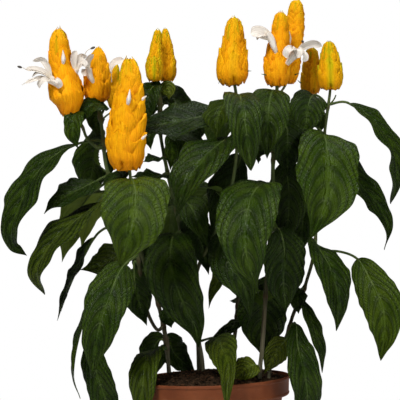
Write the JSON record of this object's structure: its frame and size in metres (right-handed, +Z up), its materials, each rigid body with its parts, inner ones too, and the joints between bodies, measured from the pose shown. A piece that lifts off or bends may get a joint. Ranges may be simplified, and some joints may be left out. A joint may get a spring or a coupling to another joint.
{
  "type": "potted golden shrimp plant",
  "caption": "Golden shrimp plant with upright golden bract spikes, white flowers and dark quilted leaves on slender stems, growing in a round terracotta-coloured plastic pot.",
  "frame": {"origin": "middle of the pot's flat base, which is the mount base", "axes": "+Z up along the pot's axis, -Y towards the viewer of the picture, +X to that viewer's right"},
  "size_m": [0.3385, 0.2268, 0.4284],
  "materials": {
    "terracotta": "matte moulded plastic",
    "soil": "crumbly damp potting soil",
    "stem": "satin green to brown stem",
    "leaf": "satin quilted leaf",
    "bract": "soft satin bracts",
    "petal": "thin soft petal"
  },
  "bodies": {
    "root": {"pot": "terracotta", "soil": "soil", "stem_left": "stem", "stem_front_spike": "stem", "stem_far_left_spike": "stem", "stem_centre": "stem", "stem_middle_spike": "stem", "stem_right": "stem", "stem_right_spike": "stem", "stem_dark_spike": "stem", "stem_back": "stem", "spike_far_left": "bract", "spike_left_back": "bract", "spike_left_green": "bract", "spike_front": "bract", "spike_pair_left": "bract", "spike_pair_right": "bract", "spike_middle": "bract", "spike_tall_left": "bract", "spike_tall_right": "bract", "spike_dark": "bract", "spike_right": "bract", "flower_far_left": "petal", "flower_left_inner": "petal", "flower_tall_left": "petal", "flower_tall_right": "petal", "leaf_far_left": "leaf", "leaf_left_upper": "leaf", "leaf_left_underside": "leaf", "leaf_left_middle": "leaf", "leaf_left_edge_on": "leaf", "leaf_front_broad": "leaf", "leaf_left_back": "leaf", "leaf_low_left": "leaf", "leaf_low_left_behind": "leaf", "leaf_over_rim_left": "leaf", "leaf_heart_low": "leaf", "leaf_centre_dark": "leaf", "leaf_centre_small": "leaf", "leaf_middle_front": "leaf", "leaf_middle_behind": "leaf", "leaf_diagonal": "leaf", "leaf_level": "leaf", "leaf_pair_right": "leaf", "leaf_middle_left_half": "leaf", "leaf_middle_drooping": "leaf", "leaf_tall_dome": "leaf", "leaf_tall_right": "leaf", "leaf_dark_dome": "leaf", "leaf_right_broad": "leaf", "leaf_right_behind": "leaf", "leaf_top_right": "leaf", "leaf_right_lower": "leaf", "leaf_right_far": "leaf", "leaf_right_inner": "leaf", "leaf_low_right": "leaf", "leaf_over_rim_front": "leaf", "leaf_back_low": "leaf", "leaf_back_left": "leaf", "leaf_back_right": "leaf"}
  },
  "joints": []
}
